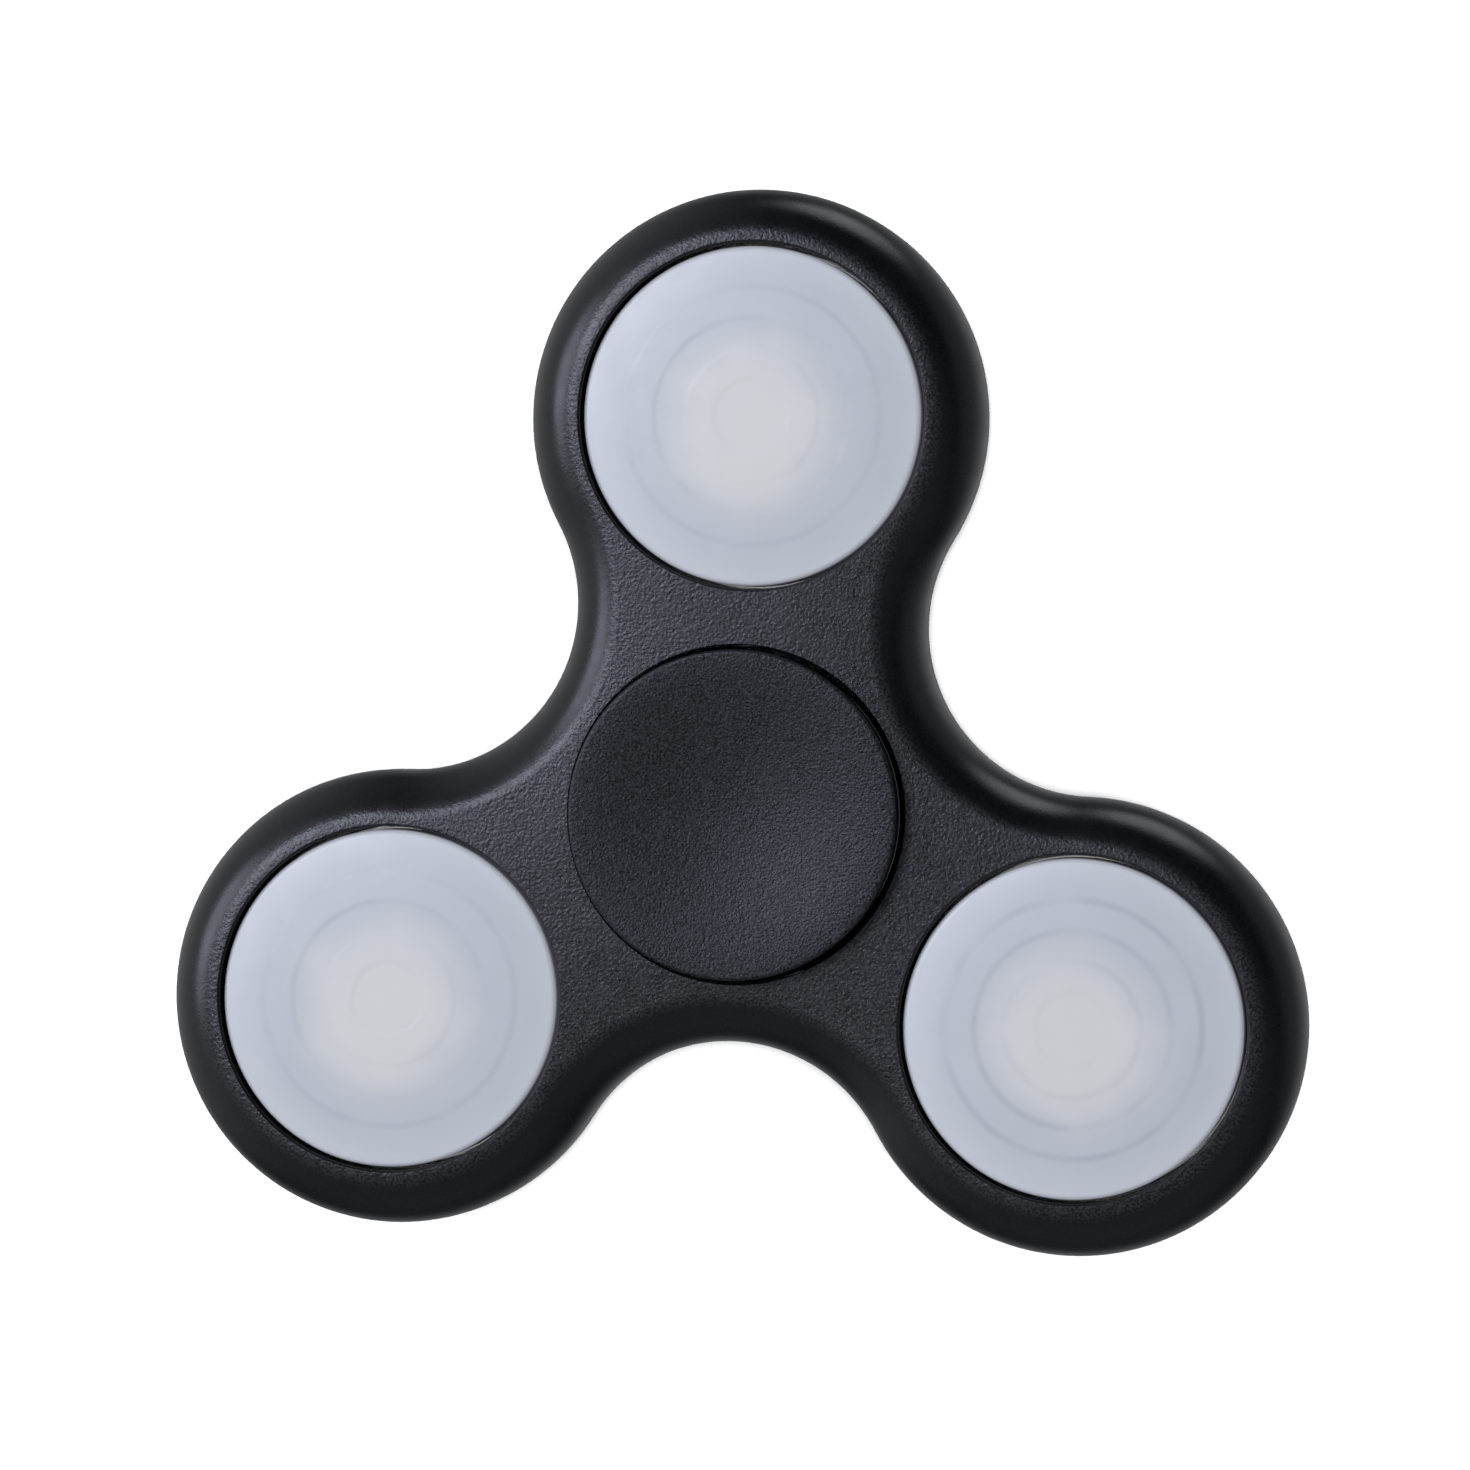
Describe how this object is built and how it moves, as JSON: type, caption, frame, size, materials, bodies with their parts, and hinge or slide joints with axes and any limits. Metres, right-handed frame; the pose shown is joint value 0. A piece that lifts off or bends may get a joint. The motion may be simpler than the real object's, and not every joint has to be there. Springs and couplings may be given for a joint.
{
  "type": "fidget spinner",
  "caption": "Three-lobed fidget spinner: ball-bearing hub with dished finger caps, black grained frame, and a press-to-light lamp with a milky domed lens in each lobe.",
  "frame": {"origin": "centre of the hub bearing: on the spin axis, halfway through the frame's thickness", "axes": "+Z along the spin axis, out of the side with the lenses; +Y from the spin axis to lobe 1; +X to the right, across the two lower lobes"},
  "size_m": [0.075, 0.069, 0.0144],
  "materials": {
    "frame_plastic": "black ABS with a coarse moulded grain, roughness 0.5",
    "cap_plastic": "black ABS with a fine matte grain, roughness 0.7",
    "lens_plastic": "milky translucent polypropylene, soft gloss, roughness 0.3",
    "case_plastic": "white ABS, roughness 0.45",
    "bearing_steel": "ground and polished bearing steel, roughness 0.15",
    "shield_steel": "pressed steel sheet, roughness 0.3",
    "cage_nylon": "natural nylon, roughness 0.5",
    "board_laminate": "green solder mask, roughness 0.4",
    "switch_plastic": "dark grey plastic, roughness 0.5",
    "plunger_plastic": "black plastic, roughness 0.4",
    "led_body": "white LED package with a clear resin window",
    "chip_epoxy": "black epoxy drop, roughness 0.25",
    "cell_steel": "nickel-plated steel can, roughness 0.25",
    "contact_brass": "sprung brass strip, roughness 0.35"
  },
  "bodies": {
    "finger_hub": {"front_finger_cap": "cap_plastic", "rear_finger_cap": "cap_plastic", "inner_race": "bearing_steel"},
    "ball_cage": {"ball_cage": "cage_nylon"},
    "ball_1": {"bearing_ball_1": "bearing_steel"},
    "ball_2": {"bearing_ball_2": "bearing_steel"},
    "ball_3": {"bearing_ball_3": "bearing_steel"},
    "ball_4": {"bearing_ball_4": "bearing_steel"},
    "ball_5": {"bearing_ball_5": "bearing_steel"},
    "ball_6": {"bearing_ball_6": "bearing_steel"},
    "ball_7": {"bearing_ball_7": "bearing_steel"},
    "rotor": {"spinner_frame": "frame_plastic", "outer_race": "bearing_steel", "front_shield": "shield_steel", "rear_shield": "shield_steel", "module_case_1": "case_plastic", "circuit_board_1": "board_laminate", "switch_body_1": "switch_plastic", "led_red_1": "led_body", "led_green_1": "led_body", "led_blue_1": "led_body", "control_chip_1": "chip_epoxy", "button_cell_a_1": "cell_steel", "button_cell_b_1": "cell_steel", "button_cell_c_1": "cell_steel", "cell_link_strip_1": "contact_brass", "return_terminal_1": "contact_brass", "module_case_2": "case_plastic", "circuit_board_2": "board_laminate", "switch_body_2": "switch_plastic", "led_red_2": "led_body", "led_green_2": "led_body", "led_blue_2": "led_body", "control_chip_2": "chip_epoxy", "button_cell_a_2": "cell_steel", "button_cell_b_2": "cell_steel", "button_cell_c_2": "cell_steel", "cell_link_strip_2": "contact_brass", "return_terminal_2": "contact_brass", "module_case_3": "case_plastic", "circuit_board_3": "board_laminate", "switch_body_3": "switch_plastic", "led_red_3": "led_body", "led_green_3": "led_body", "led_blue_3": "led_body", "control_chip_3": "chip_epoxy", "button_cell_a_3": "cell_steel", "button_cell_b_3": "cell_steel", "button_cell_c_3": "cell_steel", "cell_link_strip_3": "contact_brass", "return_terminal_3": "contact_brass"},
    "light_button_1": {"light_lens_1": "lens_plastic"},
    "plunger_1": {"switch_plunger_1": "plunger_plastic"},
    "cover_1": {"battery_cover_1": "case_plastic"},
    "light_button_2": {"light_lens_2": "lens_plastic"},
    "plunger_2": {"switch_plunger_2": "plunger_plastic"},
    "cover_2": {"battery_cover_2": "case_plastic"},
    "light_button_3": {"light_lens_3": "lens_plastic"},
    "plunger_3": {"switch_plunger_3": "plunger_plastic"},
    "cover_3": {"battery_cover_3": "case_plastic"}
  },
  "joints": [
    {"name": "rotor_spin", "type": "hinge", "parent": "finger_hub", "child": "rotor", "pos_m": [0, 0, 0], "axis": [0, 0, 1], "continuous": true},
    {"name": "cage_spin", "type": "hinge", "parent": "finger_hub", "child": "ball_cage", "pos_m": [0, 0, 0], "axis": [0, 0, 1], "continuous": true},
    {"name": "ball_1_roll", "type": "hinge", "parent": "ball_cage", "child": "ball_1", "pos_m": [0, 0.0075, 0], "axis": [0, 0, 1], "continuous": true},
    {"name": "ball_2_roll", "type": "hinge", "parent": "ball_cage", "child": "ball_2", "pos_m": [-0.00586, 0.00468, 0], "axis": [0, 0, 1], "continuous": true},
    {"name": "ball_3_roll", "type": "hinge", "parent": "ball_cage", "child": "ball_3", "pos_m": [-0.00731, -0.00167, 0], "axis": [0, 0, 1], "continuous": true},
    {"name": "ball_4_roll", "type": "hinge", "parent": "ball_cage", "child": "ball_4", "pos_m": [-0.00325, -0.00676, 0], "axis": [0, 0, 1], "continuous": true},
    {"name": "ball_5_roll", "type": "hinge", "parent": "ball_cage", "child": "ball_5", "pos_m": [0.00325, -0.00676, 0], "axis": [0, 0, 1], "continuous": true},
    {"name": "ball_6_roll", "type": "hinge", "parent": "ball_cage", "child": "ball_6", "pos_m": [0.00731, -0.00167, 0], "axis": [0, 0, 1], "continuous": true},
    {"name": "ball_7_roll", "type": "hinge", "parent": "ball_cage", "child": "ball_7", "pos_m": [0.00586, 0.00468, 0], "axis": [0, 0, 1], "continuous": true},
    {"name": "light_button_1_press", "type": "slide", "parent": "rotor", "child": "light_button_1", "axis": [0, 0, -1], "range_m": [0, 0.0004], "stiffness_N_per_m": 2500},
    {"name": "plunger_1_press", "type": "slide", "parent": "rotor", "child": "plunger_1", "axis": [0, 0, -1], "range_m": [0, 0.0004]},
    {"name": "cover_1_twist", "type": "hinge", "parent": "rotor", "child": "cover_1", "pos_m": [0, 0.026, 0], "axis": [0, 0, -1], "range_deg": [0, 60]},
    {"name": "light_button_2_press", "type": "slide", "parent": "rotor", "child": "light_button_2", "axis": [0, 0, -1], "range_m": [0, 0.0004], "stiffness_N_per_m": 2500},
    {"name": "plunger_2_press", "type": "slide", "parent": "rotor", "child": "plunger_2", "axis": [0, 0, -1], "range_m": [0, 0.0004]},
    {"name": "cover_2_twist", "type": "hinge", "parent": "rotor", "child": "cover_2", "pos_m": [-0.02252, -0.013, 0], "axis": [0, 0, -1], "range_deg": [0, 60]},
    {"name": "light_button_3_press", "type": "slide", "parent": "rotor", "child": "light_button_3", "axis": [0, 0, -1], "range_m": [0, 0.0004], "stiffness_N_per_m": 2500},
    {"name": "plunger_3_press", "type": "slide", "parent": "rotor", "child": "plunger_3", "axis": [0, 0, -1], "range_m": [0, 0.0004]},
    {"name": "cover_3_twist", "type": "hinge", "parent": "rotor", "child": "cover_3", "pos_m": [0.02252, -0.013, 0], "axis": [0, 0, -1], "range_deg": [0, 60]}
  ],
  "couplings": [
    {"joint": "cage_spin", "follows": "rotor_spin", "ratio": 0.6323},
    {"joint": "ball_1_roll", "follows": "rotor_spin", "ratio": 1.7572},
    {"joint": "ball_2_roll", "follows": "rotor_spin", "ratio": 1.7572},
    {"joint": "ball_3_roll", "follows": "rotor_spin", "ratio": 1.7572},
    {"joint": "ball_4_roll", "follows": "rotor_spin", "ratio": 1.7572},
    {"joint": "ball_5_roll", "follows": "rotor_spin", "ratio": 1.7572},
    {"joint": "ball_6_roll", "follows": "rotor_spin", "ratio": 1.7572},
    {"joint": "ball_7_roll", "follows": "rotor_spin", "ratio": 1.7572},
    {"joint": "plunger_1_press", "follows": "light_button_1_press", "ratio": 1},
    {"joint": "plunger_2_press", "follows": "light_button_2_press", "ratio": 1},
    {"joint": "plunger_3_press", "follows": "light_button_3_press", "ratio": 1}
  ]
}
